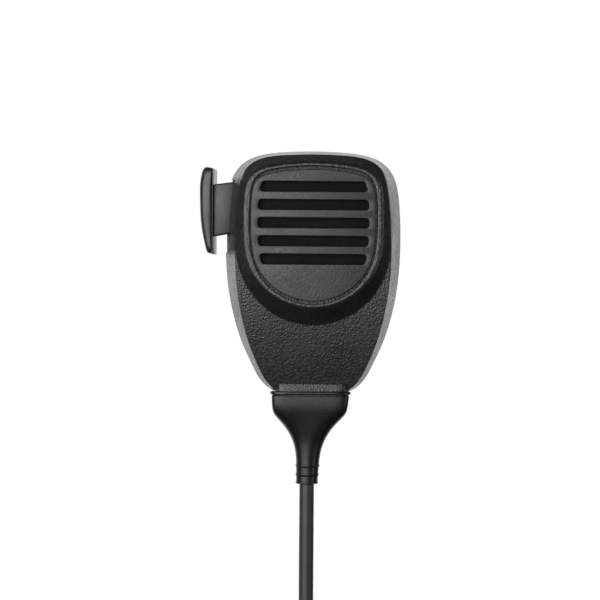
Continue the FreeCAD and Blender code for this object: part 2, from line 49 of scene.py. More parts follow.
CAM_X, CAM_Z = -0.00466, -0.0315
CAM_DISTANCE = 0.95
CAM_ROLL = -0.48           # degrees
SENSOR, VIEW_WIDTH = 36, 0.222
CASE_MID_Y = -0.022
cam_data = bpy.data.cameras.new("camera")
cam_data.sensor_width = SENSOR
cam_data.lens = SENSOR * CAM_DISTANCE / VIEW_WIDTH
camera = bpy.data.objects.new("camera", cam_data)
camera.location = (CAM_X, CASE_MID_Y - CAM_DISTANCE, CAM_Z)
camera.rotation_euler = (math.radians(90), math.radians(CAM_ROLL), 0)
bpy.context.scene.collection.objects.link(camera)
bpy.context.scene.camera = camera


# ---- materials ----

class Nodes:
    """A material's node tree with short calls."""

    def __init__(self, name, colour, roughness, **sockets):
        self.material = bpy.data.materials.new(name)
        self.material.use_nodes = True
        self.tree = self.material.node_tree
        self.shader = self.tree.nodes["Principled BSDF"]
        self.shader.inputs["Base Color"].default_value = (*colour, 1)
        self.shader.inputs["Roughness"].default_value = roughness
        for socket, value in sockets.items():
            self.shader.inputs[socket.replace("_", " ")].default_value = value
        self.place = self.add("ShaderNodeTexCoord").outputs["Object"]

    def add(self, kind, links=None, **settings):
        node = self.tree.nodes.new(kind)
        for key, value in settings.items():
            if hasattr(node, key):
                setattr(node, key, value)
            else:
                node.inputs[key.replace("_", " ")].default_value = value
        for socket, source in (links or {}).items():
            self.tree.links.new(source, node.inputs[socket])
        return node

    def noise(self, size_mm, detail=2.0, rough=0.5):
        node = self.add(
            "ShaderNodeTexNoise", {"Vector": self.place},
            Scale=1000 / size_mm, Detail=detail, Roughness=rough,
        )
        return node.outputs["Fac"]

    def cells(self, size_mm, place):
        node = self.add(
            "ShaderNodeTexVoronoi", {"Vector": place},
            feature="SMOOTH_F1", Scale=1000 / size_mm, Smoothness=0.6,
        )
        return node.outputs["Distance"]

    def ramp(self, source, low, high, start=0.0, end=1.0):
        node = self.add("ShaderNodeMapRange", {"Value": source})
        for i, value in enumerate((start, end, low, high)):
            node.inputs[i + 1].default_value = value
        return node.outputs["Result"]

    def maths(self, operation, first, second):
        node = self.add("ShaderNodeMath", operation=operation)
        for i, value in enumerate((first, second)):
            if isinstance(value, (int, float)):
                node.inputs[i].default_value = value
            else:
                self.tree.links.new(value, node.inputs[i])
        return node.outputs[0]

    def tint(self, factor, first, second):
        node = self.add("ShaderNodeMix", data_type="RGBA")
        self.tree.links.new(factor, node.inputs[0])
        node.inputs[6].default_value = (*first, 1)
        node.inputs[7].default_value = (*second, 1)
        self.link(node.outputs[2], "Base Color")

    def link(self, source, socket):
        self.tree.links.new(source, self.shader.inputs[socket])

    def bump(self, height, distance_mm):
        node = self.add("ShaderNodeBump", {"Height": height}, Strength=1.0, Distance=distance_mm * MM)
        self.link(node.outputs["Normal"], "Normal")


def moulded(name, colour, roughness, grain_mm, depth_mm, mottle=0.3, **sockets):
    """Moulded plastic: pebble grain, uneven gloss and a little wear."""
    n = Nodes(name, colour, roughness, **sockets)
    noise = n.add("ShaderNodeTexNoise", {"Vector": n.place}, Scale=1000 / (grain_mm * 2.2), Detail=1.0)
    warp = n.add("ShaderNodeVectorMath", {0: noise.outputs["Color"], 2: n.place}, operation="MULTIPLY_ADD")
    warp.inputs[1].default_value = (grain_mm * 0.5 * MM,) * 3
    swell = n.ramp(n.noise(grain_mm * 1.7), 0.5, 1.4)
    pebbles = n.maths("MULTIPLY", n.cells(grain_mm, warp.outputs[0]), swell)
    fine = n.noise(grain_mm * 0.8, detail=1)
    height = n.maths("ADD", pebbles, n.maths("MULTIPLY", fine, 0.5))
    n.bump(height, depth_mm)
    patches = n.ramp(n.noise(14, detail=4), roughness - 0.04, roughness + 0.05, 0.3, 0.7)
    grit = n.ramp(n.noise(grain_mm * 1.4, detail=3, rough=0.7), -mottle * 0.5, mottle * 0.5, 0.3, 0.7)
    n.link(n.maths("ADD", patches, n.maths("MULTIPLY", grit, roughness)), "Roughness")
    lighter = tuple(c * (1.3 + mottle) + 0.002 for c in colour)
    wear = n.ramp(n.noise(9, detail=6, rough=0.7), 0, 0.6, 0.35, 0.75)
    n.tint(n.maths("ADD", wear, n.maths("MULTIPLY", grit, 1.5)), colour, lighter)
    return n.material


BLACK = (0.0095, 0.0095, 0.0098)
mats = {
    "case_plastic": moulded("case_plastic", BLACK, 0.36, 0.72, 0.11, mottle=0.5),
    "panel_plastic": moulded("panel_plastic", BLACK, 0.44, 0.75, 0.045, mottle=0.5),
    "bar_plastic": moulded("bar_plastic", BLACK, 0.38, 0.5, 0.012),
    "inner_plastic": moulded("inner_plastic", (0.03, 0.03, 0.032), 0.5, 0.5, 0.01),
    "plunger_plastic": moulded("plunger_plastic", (0.25, 0.02, 0.015), 0.4, 0.5, 0.005),
    "boot_rubber": moulded("boot_rubber", (0.005, 0.005, 0.0052), 0.4, 0.5, 0.012, Specular_IOR_Level=0.4),
    "holder_rubber": moulded("holder_rubber", (0.02, 0.02, 0.02), 0.65, 0.3, 0.008),
    "cord_jacket": moulded("cord_jacket", (0.016, 0.016, 0.0165), 0.5, 0.3, 0.006),
    "parts_black": moulded("parts_black", (0.02, 0.02, 0.022), 0.4, 0.3, 0.006),
    "board_green": moulded("board_green", (0.01, 0.09, 0.03), 0.3, 0.4, 0.004),
    "wire_colours": moulded("wire_colours", (0.3, 0.05, 0.03), 0.4, 0.3, 0.004),
    "tie_strap": moulded("tie_strap", (0.02, 0.02, 0.02), 0.8, 0.3, 0.02),
    "cloth": moulded("cloth", (0.003, 0.003, 0.003), 0.85, 0.5, 0.12, mottle=0.4, Specular_IOR_Level=0.15),
    "foam": moulded("foam", (0.015, 0.015, 0.015), 0.95, 0.5, 0.08),
    "steel": moulded("steel", (0.5, 0.5, 0.5), 0.28, 0.2, 0.002, Metallic=1.0),
    "button_metal": moulded("button_metal", (0.56, 0.56, 0.55), 0.24, 0.2, 0.002, Metallic=1.0),
    "capsule_metal": moulded("capsule_metal", (0.6, 0.6, 0.6), 0.3, 0.2, 0.002, Metallic=1.0),
    "contact_gold": moulded("contact_gold", (0.8, 0.55, 0.2), 0.2, 0.2, 0.001, Metallic=1.0),
    "plug_clear": moulded("plug_clear", (0.75, 0.77, 0.78), 0.15, 0.5, 0.002, Transmission_Weight=0.7),
}
slot_of = {}
for node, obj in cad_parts.items():
    slot_of[node] = obj.data.materials[0].name.split(".")[0] if obj.data.materials else "case_plastic"


def paint(obj, name):
    obj.data.materials.clear()
    obj.data.materials.append(mats[name])


# ---- makers ----

def loft(name, loops, material, closed=False, capped=False, smooth_deg=40):
    """Piece from equal loops of points, joined in order."""
    rows = np.array(loops) * MM
    count, around = rows.shape[:2]
    faces = []
    for i in range(count if closed else count - 1):
        low, high = i * around, (i + 1) % count * around
        for j in range(around):
            k = (j + 1) % around
            faces.append((low + j, low + k, high + k, high + j))
    if capped:
        faces += [tuple(range(around))[::-1], tuple(range((count - 1) * around, count * around))]
    return mesh_piece(name, rows.reshape(-1, 3), faces, material, smooth_deg)


def mesh_piece(name, points, faces, material, smooth_deg=40):
    mesh = bpy.data.meshes.new(name)
    mesh.from_pydata([tuple(p) for p in points], [], faces)
    bm = bmesh.new()
    bm.from_mesh(mesh)
    bmesh.ops.recalc_face_normals(bm, faces=bm.faces)
    bm.to_mesh(mesh)
    bm.free()
    return mesh_object(name, mesh, material, smooth_deg)


def mesh_object(name, mesh, material, smooth_deg=40):
    mesh.shade_smooth()
    mesh.set_sharp_from_angle(angle=math.radians(smooth_deg))
    obj = bpy.data.objects.new(name, mesh)
    bpy.context.scene.collection.objects.link(obj)
    paint(obj, material)
    return obj


def applied(obj):
    """Replaces the mesh by its modified form, with no modifiers left."""
    graph = bpy.context.evaluated_depsgraph_get()
    graph.update()
    mesh = bpy.data.meshes.new_from_object(obj.evaluated_get(graph))
    obj.modifiers.clear()
    obj.data = mesh
    return obj


def carve(obj, operation, cutters, smooth_deg=40):
    for cutter in cutters:
        change = obj.modifiers.new(operation, "BOOLEAN")
        change.operation, change.solver, change.object = operation, "EXACT", cutter
    applied(obj)
    obj.data.set_sharp_from_angle(angle=math.radians(smooth_deg))
    for cutter in cutters:
        bpy.data.objects.remove(cutter)
    return obj


def block(xs, ys, zs):
    """Cutting box, in millimetres."""
    corners = [(x, y, z) for z in zs for y in ys for x in xs]
    faces = [(0, 1, 3, 2), (4, 5, 7, 6), (0, 1, 5, 4), (2, 3, 7, 6), (0, 2, 6, 4), (1, 3, 7, 5)]
    return mesh_piece("cutter", np.array(corners) * MM, faces, "case_plastic")


def squircle(z, half_x, half_y, power, middle, count=64):
    turn = np.arange(count) * TAU / count
    c, s = np.cos(turn), np.sin(turn)
    reach = (np.abs(c) ** power + np.abs(s) ** power) ** (-1 / power)
    return np.stack([middle[0] + half_x * reach * c, middle[1] + half_y * reach * s, np.full(count, z)], 1)


def spline(points, count, ends=None):
    """Evenly spread points of a smooth curve through the given ones, and its directions there.

    ends holds the slopes at the two ends, where they are wanted.
    """
    p = np.array(points, float)
    gaps = np.linalg.norm(np.diff(p, axis=0), axis=1)
    t = np.concatenate([[0], np.cumsum(gaps)])
    size = len(p)
    left, right = np.zeros((size, size)), np.zeros(p.shape)
    for i in range(1, size - 1):
        a, b = gaps[i - 1], gaps[i]
        left[i, i - 1:i + 2] = b, 2 * (a + b), a
        right[i] = 3 * (b * (p[i] - p[i - 1]) / a + a * (p[i + 1] - p[i]) / b)
    if ends is None:
        left[0, :2] = 2, 1
        left[-1, -2:] = 1, 2
        right[0], right[-1] = 3 * (p[1] - p[0]) / gaps[0], 3 * (p[-1] - p[-2]) / gaps[-1]
    else:
        left[0, 0] = left[-1, -1] = 1
        right[0], right[-1] = ends
    slopes = np.linalg.solve(left, right)
    at = np.linspace(0, t[-1], count)
    j = np.clip(np.searchsorted(t, at, "right") - 1, 0, size - 2)
    g = gaps[j][:, None]
    s = (at - t[j])[:, None] / g
    places = (
        (1 + 2 * s) * (1 - s) ** 2 * p[j] + s * (1 - s) ** 2 * g * slopes[j]
        + s * s * (3 - 2 * s) * p[j + 1] + s * s * (s - 1) * g * slopes[j + 1]
    )
    along = (
        6 * s * (s - 1) * (p[j] - p[j + 1]) / g
        + (1 - s) * (1 - 3 * s) * slopes[j] + s * (3 * s - 2) * slopes[j + 1]
    )
    return places, along / np.linalg.norm(along, axis=1)[:, None]


# ---- the cord: lead, coiled part and tail, on the route that the CAD has ----

ROUTE = [
    (-1.6, -22, -99.5), (-1.6, -22, -160), (-0.9, -22.5, -212), (1.2, -22.3, -246), (2.6, -22, -270),
    (-9.2, -21.6, -282.4), (-25.8, -21.2, -282.8), (-37.4, -21, -270.6), (-36.9, -21.3, -248),
    (-35.2, -21.8, -216), (-33.8, -22, -182), (-33.6, -22, -166.4), (-25.9, -14.8, -156), (-15, -4.7, -155.8),
    (-7.4, 2.4, -166.2), (-7, 3, -186), (-7.8, 2.6, -214),
]
CORD_D = 5.4
COIL_R = 5.05           # middle of the wire from the coil's own middle
COIL_START_Z, COIL_END_Z = -160.0, -182.0
COIL_INWARD = 2.0       # how far inside those heights the turns begin and end
COIL_GROW = 16.0        # length in which the turns reach their full width
COIL_GAP, COIL_LOOSE = 1.01, 6.0    # pitch over the cord's diameter, and the extra pitch at the ends
LOW_LEG_Z = -270
ROUTE_STEP, RING_STEP, CORD_AROUND = 0.1, 1.3, 18


def route_points():
    curve = bpy.data.curves.new("route", "CURVE")
    curve.dimensions = "3D"
    curve.resolution_u = 48
    line = curve.splines.new("NURBS")
    line.points.add(len(ROUTE) - 1)
    for point, place in zip(line.points, ROUTE):
        point.co = (*[v * MM for v in place], 1)
    line.order_u = 3
    line.use_endpoint_u = True
    holder = bpy.data.objects.new("route", curve)
    bpy.context.scene.collection.objects.link(holder)
    mesh = bpy.data.meshes.new_from_object(holder)
    points = np.array([v.co for v in mesh.vertices]) / MM
    bpy.data.objects.remove(holder)
    bpy.data.meshes.remove(mesh)
    return points


def resample(points, step):
    far = np.concatenate([[0], np.cumsum(np.linalg.norm(np.diff(points, axis=0), axis=1))])
    at = np.linspace(0, far[-1], int(far[-1] / step) + 1)
    return np.stack([np.interp(at, far, points[:, k]) for k in range(3)], 1), at


def running_mean(values, width):
    """Running mean with the ends kept."""
    first, last = np.repeat(values[:1], width // 2), np.repeat(values[-1:], width // 2)
    return np.convolve(np.concatenate([first, values, last]), np.ones(width) / width, "valid")


def along_frames(points):
    """Directions along and across a line of points, turning as little as they can."""
    along = np.gradient(points, axis=0)
    along /= np.linalg.norm(along, axis=1)[:, None]
    side = np.array((1.0, 0.0, 0.0))
    sides = []
    for way in along:
        side = side - way * side.dot(way)
        side /= np.linalg.norm(side)
        sides.append(side)
    sides = np.array(sides)
    return along, sides, np.cross(along, sides)


def coiled(points, at, start, end):
    """The route with the coil's turns between two distances along it."""
    along, side, other = along_frames(points)
    bend = running_mean(np.linalg.norm(np.gradient(along, at, axis=0), axis=1), 21)
    inside = np.clip(np.minimum(at - start, end - at) / COIL_GROW, 0, 1)
    radius = COIL_R * (inside * inside * (3 - 2 * inside))
    pitch = CORD_D * COIL_GAP / (1 - COIL_R * bend) + COIL_LOOSE * (1 - inside)
    rate = np.where((at > start) & (at < end), 1 / pitch, 0)
    turn = TAU * np.cumsum(rate * np.gradient(at))
    return points + radius[:, None] * (np.cos(turn)[:, None] * side + np.sin(turn)[:, None] * other)


def tube_loops(line, radius, around):
    _, side, other = along_frames(line)
    turn = np.arange(around) * TAU / around
    ring = np.cos(turn)[:, None, None] * side + np.sin(turn)[:, None, None] * other
    return line[:, None] + radius * ring.transpose(1, 0, 2)


def make_cord():
    points, at = resample(route_points(), ROUTE_STEP)
    start = at[np.argmax(points[:, 2] < COIL_START_Z + COIL_INWARD)]
    past = np.nonzero(points[:, 2] < LOW_LEG_Z)[0][-1]
    end = at[past + np.argmax(points[past:, 2] > COIL_END_Z - COIL_INWARD)]
    line, _ = resample(coiled(points, at, start, end), RING_STEP)
    line[0] = ROUTE[0]
    loops = tube_loops(line, CORD_D / 2, CORD_AROUND)
    cord = loft("cord", loops, "cord_jacket", capped=True, smooth_deg=60)
    length = np.linalg.norm(np.diff(line, axis=0), axis=1).sum()
    print("cord length", round(length, 1), "mm, rings", len(line))
    return cord, line


cord, cord_line = make_cord()
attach(cord, "mic")
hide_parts("cord_lead", "curly_cord", "cord_tail")

# ---- front shell ----

PART_Y, FACE_Y, PLATFORM_Y, POCKET_Y = -22.0, -37.0, -41.2, -37.3
RING_Z = -7.8
CASE_HALF = [
    (0, 23.5), (10, 23.2), (18, 22.3), (23.7, 20.4), (27.8, 17.2), (30.1, 13.2), (31.55, 6.5), (32.3, -7.8),
    (31.5, -24.5), (29.1, -37.6), (25.3, -49), (20.9, -58), (16.9, -63.4), (9.8, -66.4), (0, -67),
]
PLATFORM_HALF = [
    (0, 18.5), (9.4, 17.95), (16, 16.9), (20.9, 14.9), (23.9, 11.2), (25, 5.8), (25.25, -1.3), (25.1, -8.3),
    (24, -16.5), (21.2, -22.9), (16.9, -28), (9.1, -32.7), (0, -34.4),
]
FRONT_INSETS = (3.8, 1.85)
FRONT_DEEP = PART_Y - FACE_Y
PLATFORM_SLOPE, FLANK_DEEP = 0.83, 5
POCKET_INSETS, POCKET_EDGE = (2.0, 1.3), 0.35
RIM_ROUND, FOOT_ROUND, EDGE_ROUND = 0.9, 0.35, 1.0
SEAM = (0.12, 0.3)         # depth and width of the bevel at the parting plane
FACE_BEND = (-5.0, 200.0)  # height where the face begins to curve back, and the curve's radius
WALL, INSIDE_HIGH = 2.2, 13.2
HOLE_R, POCKET_HIGH = 6.5, 15.3
INSIDE_LOW_Z = -58.5
NECK_Z, LIP_Z, LIP_HALF = -64.9, -62.2, (12.7, 8.2)
AROUND = 360
ANGLES = np.arange(AROUND) * TAU / AROUND
SIN, COS = np.sin(ANGLES), np.cos(ANGLES)


def loop_of(half, insets=(0, 0)):
    """Closed outline (x, z) from its right half, moved in by insets at the sides and at the ends."""
    places, along = spline(half, 200, ends=((1, 0), (-1, 0)))
    inset = np.hypot(insets[0] * along[:, 1], insets[1] * along[:, 0]) * math.copysign(1, insets[0])
    right = places - np.stack([-along[:, 1], along[:, 0]], 1) * inset[:, None]
    return np.concatenate([right, (right * (-1, 1))[-2:0:-1]])


def radii(loop):
    """How far the outline is from the centre at each angle, turning from up to the right."""
    x, z = loop[:, 0], loop[:, 1] - RING_Z
    turn = np.arctan2(x, z) % TAU
    order = np.argsort(turn)
    return np.interp(ANGLES, turn[order], np.hypot(x, z)[order], period=TAU)


def soft_min(a, b, width):
    return np.minimum(a, b) - np.maximum(width - np.abs(a - b), 0) ** 2 / (4 * width)


def soft_max(a, b, width):
    return -soft_min(-a, -b, width)


def evened(r, h, count, bend_share):
    """Profile points spread by length, and closer where it bends."""
    run, rise = np.diff(r), np.diff(h)
    way = np.arctan2(rise, run)
    turning = np.abs(np.diff(way, append=way[-1]))
    weight = np.concatenate([[0], np.cumsum(np.hypot(run, rise) + bend_share * turning)])
    at = np.linspace(0, weight[-1], count)
    return np.interp(at, weight, r), np.interp(at, weight, h)


def shell_loops(profiles):
    """Loops round the centre from each angle's profile of radii and heights above the parting plane."""
    loops = []
    for k in range(len(profiles[0][0])):
        r = np.array([p[0][k] for p in profiles])
        h = np.array([p[1][k] for p in profiles])
        loops.append(np.stack([r * SIN, PART_Y - h, RING_Z + r * COS], 1))
    return loops


def face_high(z):
    """Height of the front face above the parting plane, flat at the top and curving back below."""
    drop = np.clip(FACE_BEND[0] - z, 0, None)
    return FRONT_DEEP - (FACE_BEND[1] - np.sqrt(FACE_BEND[1] ** 2 - drop ** 2))


def front_profiles():
    outer = radii(loop_of(CASE_HALF))
    inner = radii(loop_of(CASE_HALF, FRONT_INSETS))
    top = radii(loop_of(PLATFORM_HALF))
    foot = radii(loop_of(PLATFORM_HALF, (-FLANK_DEEP * PLATFORM_SLOPE, -FLANK_DEEP * PLATFORM_SLOPE)))
    pocket = radii(loop_of(PLATFORM_HALF, POCKET_INSETS))
    high = PART_Y - PLATFORM_Y
    profiles = []
    for i in range(AROUND):
        r = np.linspace(pocket[i] + POCKET_EDGE, outer[i], 900)
        z = RING_Z + r * COS[i]
        face = face_high(z)
        side = FRONT_DEEP * (outer[i] - r) / (outer[i] - inner[i])
        flank = high - FLANK_DEEP * (r - top[i]) / (foot[i] - top[i])
        h = soft_max(soft_min(np.full_like(r, high), flank, RIM_ROUND), face, FOOT_ROUND)
        h = np.maximum(soft_min(h, side, EDGE_ROUND), 0)
        r, h = evened(r, h, count=96, bend_share=5.0)
        seam = np.clip(1 - h / SEAM[1], 0, 1) ** 2 * SEAM[0]
        q = pocket[i]
        turn = np.linspace(0, math.pi / 2, 5)
        edge_r = q + POCKET_EDGE * (1 - np.cos(turn))
        edge_h = high - POCKET_EDGE * (1 - np.sin(turn))
        start_r = [HOLE_R, HOLE_R, (HOLE_R + q) / 2, q - 0.4, q]
        start_h = [INSIDE_HIGH] + [POCKET_HIGH] * 4
        wall = outer[i] - WALL
        if COS[i] < -0.5:
            wall = min(wall, (INSIDE_LOW_Z - RING_Z) / COS[i])
        end_r = np.concatenate([np.linspace(wall, wall - 5, 18), np.linspace(wall - 6, HOLE_R + 0.5, 14)])
        roof = np.minimum(face_high(RING_Z + end_r * COS[i]) - WALL, INSIDE_HIGH)
        end_h = soft_min(roof, FRONT_DEEP * (wall - end_r) / (outer[i] - inner[i]), EDGE_ROUND)
        end_h[0] = 0
        profiles.append((
            np.concatenate([start_r, edge_r, r - seam, end_r]),
            np.concatenate([start_h, edge_h, h, end_h]),
        ))
    return profiles


NOTCH = ((-45, -24), (-27.6, -18.8), (-14.2, 12.6))     # where the push-to-talk stem goes in
FAR = 60


def make_front_shell():
    shell = loft("front_shell", shell_loops(front_profiles()), "case_plastic", closed=True)
    lip = [squircle(z, *(h - cut for h in LIP_HALF), 14.0, (0, PART_Y), 160)
           for z, cut in ((NECK_Z, 0.0), (LIP_Z - 0.3, 0.0), (LIP_Z - 0.08, 0.09), (LIP_Z, 0.3))]
    carve(shell, "DIFFERENCE", [block((-FAR, FAR), (-FAR, 20), (NECK_Z, NECK_Z - 20))])
    carve(shell, "UNION", [loft("lip", lip, "case_plastic", capped=True)])
    bore = [squircle(z, 9.0, 5.0, 5.0, (0, PART_Y)) for z in (NECK_Z - 4, -56)]
    carve(shell, "DIFFERENCE", [
        loft("bore", bore, "case_plastic", capped=True),
        block((-FAR, FAR), (PART_Y, 20), (-90, FAR)),
        block(*NOTCH),
    ])
    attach(shell, "mic")
    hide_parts("front_case")


make_front_shell()

# ---- grille panel, cloth and foam ----

PANEL_FRONT, PANEL_THICK = PLATFORM_Y + 0.1, 2.0
SLOT_ZS = [9.7 - 6.6 * i for i in range(5)]
SLOT_TALL, SLOT_ROUND = 3.6, 1.2
PANEL_INSETS, PLATE_EDGE = (2.5, 2.45), 0.35
CLOTH_ROOM = 0.3
SLOT_HALVES = [(18.9, 19.5), (19.95, 20.15), (20.2, 20.2), (20.1, 19.9), (19.35, 18.9)]


def slot_loop(z, half_top, half_low):
    """Outline of one slot: level edges, nearly upright ends and rounded corners."""
    high, low = z + SLOT_TALL / 2, z - SLOT_TALL / 2
    turn = np.linspace(0, math.pi / 2, 9)
    upper = [(half_top - SLOT_ROUND * (1 - math.sin(a)), high - SLOT_ROUND * (1 - math.cos(a))) for a in turn]
    lower = [(half_low - SLOT_ROUND * (1 - math.cos(a)), low + SLOT_ROUND * (1 - math.sin(a))) for a in turn]
    right = np.array(upper + lower)
    return np.concatenate([right, (right * (-1, 1))[::-1]])


def flat_piece(name, loops, y_middle, thick, edge, material):
    """Plate from outlines (x, z), the first outside and the rest its holes, with rounded edges."""
    curve = bpy.data.curves.new(name, "CURVE")
    curve.dimensions = "2D"
    curve.fill_mode = "BOTH"
    curve.extrude = (thick / 2 - edge) * MM
    curve.bevel_depth = edge * MM
    curve.offset = -edge * MM
    curve.bevel_resolution = 3
    for loop in loops:
        line = curve.splines.new("POLY")
        line.points.add(len(loop) - 1)
        for point, (x, z) in zip(line.points, loop):
            point.co = (x * MM, z * MM, 0, 1)
        line.use_cyclic_u = True
    holder = bpy.data.objects.new(name, curve)
    bpy.context.scene.collection.objects.link(holder)
    mesh = bpy.data.meshes.new_from_object(holder)
    bpy.data.objects.remove(holder)
    for vertex in mesh.vertices:
        x, z, y = vertex.co
        vertex.co = (x, y_middle * MM - y, z)
    bm = bmesh.new()
    bm.from_mesh(mesh)
    bmesh.ops.remove_doubles(bm, verts=bm.verts, dist=1e-7)
    bmesh.ops.recalc_face_normals(bm, faces=bm.faces)
    bm.to_mesh(mesh)
    bm.free()
    return mesh_object(name, mesh, material, 35)


slots = [slot_loop(z, *halves) for z, halves in zip(SLOT_ZS, SLOT_HALVES)]
panel = flat_piece(
    "grille_plate", [loop_of(PLATFORM_HALF, PANEL_INSETS)] + slots,
    PANEL_FRONT + PANEL_THICK / 2, PANEL_THICK, PLATE_EDGE, "panel_plastic",
)
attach(panel, "mic")
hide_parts("grille_panel")


cloth_loop = loop_of(PLATFORM_HALF, (3.2, 3.2))
PANEL_BACK = PANEL_FRONT + PANEL_THICK
cloth = flat_piece("speaker_cloth", [cloth_loop], PANEL_BACK + 0.15, 0.28, 0.08, "cloth")
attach(cloth, "mic")
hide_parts("grille_cloth")

foam = flat_piece(
    "wind_foam", [loop_of(PLATFORM_HALF, (3.6, 3.6))], (PANEL_BACK + CLOTH_ROOM + POCKET_Y) / 2,
    POCKET_Y - PANEL_BACK - CLOTH_ROOM, PLATE_EDGE, "foam",
)
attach(foam, "mic")
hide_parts("sound_foam")

# ---- push-to-talk knob ----

PAD_Y, STEM_Y = (-29.8, -14.2), (-27.0, -19.4)
PAD_DOME = [
    (-37.2, 16.8), (-40.0, 16.95), (-41.3, 14.3), (-41.8, 6), (-41.4, -2.5), (-39.6, -12.4), (-38.6, -14.4),
    (-37.2, -14.6),
]
LENS_DOME = [
    (-37.7, 15.4), (-38.5, 14.4), (-39.4, 11.0), (-39.9, 5.0), (-39.8, -1.0), (-39.0, -7.0), (-38.2, -10.6),
    (-37.7, -12.0),
]
LENS_DIP, PAD_ROUND = 0.12, 2.3
STEM_CORNERS = [(-37.0, 10.8), (-29.0, 11.9), (-29.0, -6.85), (-31.6, -7.4), (-37.0, -8.5)]


def rounded(obj, width_mm):
    change = obj.modifiers.new("round", "BEVEL")
    change.width, change.segments, change.limit_method = width_mm * MM, 3, "ANGLE"
    return applied(obj)


def dome_loop(points):
    dome, _ = spline(points, 90)
    back = np.linspace(dome[-1], dome[0], 42)[1:-1]
    loop = np.concatenate([dome, back])
    return np.stack([loop[:, 0], np.zeros(len(loop)), loop[:, 1]], 1)


def make_knob():
    lens, full = dome_loop(LENS_DOME), dome_loop(PAD_DOME)
    middle = lens.mean(0)
    loops = []
    for share in (0.55, 0.85, 1.0):
        loop = middle + (lens - middle) * (share, 1, share)
        loop[:, 1] = PAD_Y[0] + LENS_DIP * share ** 3
        loops.append(loop)
    for turn in np.linspace(0, math.pi / 2, 12)[1:]:
        loop = lens + (full - lens) * math.sin(turn)
        loop[:, 1] = PAD_Y[0] + LENS_DIP + PAD_ROUND * (1 - math.cos(turn))
        loops.append(loop)
    middle_y = sum(PAD_Y) / 2
    back = []
    for loop in loops:
        mirrored = loop.copy()
        mirrored[:, 1] = 2 * middle_y - loop[:, 1]
        back.append(mirrored)
    knob = loft("talk_knob", loops + back[::-1], "bar_plastic", capped=True, smooth_deg=35)
    front, back_y = PAD_Y[0] + 0.3, PAD_Y[1] - 0.3
    sides = [(-37.3, front), (-36.95, front), (-35.9, back_y), (-37.3, back_y)]
    plate = loft("plate", [[(x, y, z) for x, y in sides] for z in (-14.8, 16.6)], "bar_plastic", capped=True)
    rounded(plate, 0.12)
    stem = loft("stem", [[(x, y, z) for x, z in STEM_CORNERS] for y in STEM_Y], "bar_plastic", capped=True)
    rounded(stem, 0.6)
    carve(knob, "UNION", [plate, stem], 35)
    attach(knob, "ptt_bar")
    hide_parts("ptt_knob")


make_knob()

# ---- boot: each row is height, half width, half depth and squircle power ----

SEAT_LOW_Z = -65.28         # above it the boot is centred on the case, below it leans with the cord
BOOT_TOP, BOOT_END = (-0.5, -65.3), (-1.6, -99.5)
BOOT_RIM = [
    (-56.4, 10.8, 5.5, 5), (-58.3, 10.8, 5.5, 5), (-58.4, 8.9, 4.9, 5), (-64.95, 8.9, 4.9, 5),
    (-64.97, 13.4, 7.2, 5.5), (-65.25, 13.4, 7.2, 5.5), (-65.3, 14.6, 8.2, 5.5), (-65.45, 14.85, 8.45, 5.5),
    (-65.8, 14.9, 8.5, 5.5), (-66.1, 14.85, 8.45, 5.5), (-66.25, 14.6, 8.2, 5.5), (-66.35, 14.0, 7.6, 8),
    (-66.65, 14.0, 7.6, 9),
]
BOOT_BODY = [
    (-66.9, 14.3, 7.9, 9), (-69.5, 14.1, 7.8, 9), (-72, 13.75, 7.5, 7.5), (-74.2, 12.7, 7, 5),
    (-76.8, 10.4, 6.4, 3.2), (-80, 7.85, 5.7, 2.5), (-83.6, 5.9, 5, 2.1), (-88, 4.65, 4.5, 2),
    (-93, 4.2, 4.2, 2), (-99.2, 3.95, 3.95, 2),
]
BOOT_BORE = [
    (-99.4, 3.7, 3.7, 2), (-99.5, 3.5, 3.5, 2), (-99.5, 2.72, 2.72, 2), (-99.0, 2.7, 2.7, 2),
    (-56.4, 2.7, 2.7, 2),
]
RIB_ZS, RIB_PROUD, RIB_HALF = (-92.7, -95.9, -99.0), 0.25, 0.5


def boot_x(z):
    share = min(max((z - BOOT_TOP[1]) / (BOOT_END[1] - BOOT_TOP[1]), 0), 1)
    return BOOT_TOP[0] + share * (BOOT_END[0] - BOOT_TOP[0])


def make_boot():
    rings = list(BOOT_RIM)
    body, _ = spline(BOOT_BODY, 170)
    for z, a, b, n in body:
        proud = sum(RIB_PROUD * max(0, 1 - ((z - rib) / RIB_HALF) ** 2) ** 0.5 for rib in RIB_ZS)
        rings.append((z, a + proud, b + proud, n))
    rings += BOOT_BORE
    loops = [
        squircle(z, a, b, n, (0 if z > SEAT_LOW_Z else boot_x(z), PART_Y), 128) for z, a, b, n in rings
    ]
    boot = loft("cord_boot_rubber", loops, "boot_rubber", closed=True, smooth_deg=50)
    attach(boot, "mic")
    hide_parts("cord_boot")


make_boot()

# ---- strap round the hank ----

TIE_Z = (-207.0, -194.0)
TIE_ROUND = [(-1.2, -22.4, 7.75), (-7.5, 2.7, 2.7), (-34.6, -21.9, 7.75)]
TIE_THICK, TIE_GAP, TIE_EDGE = 1.1, 0.25, 0.3


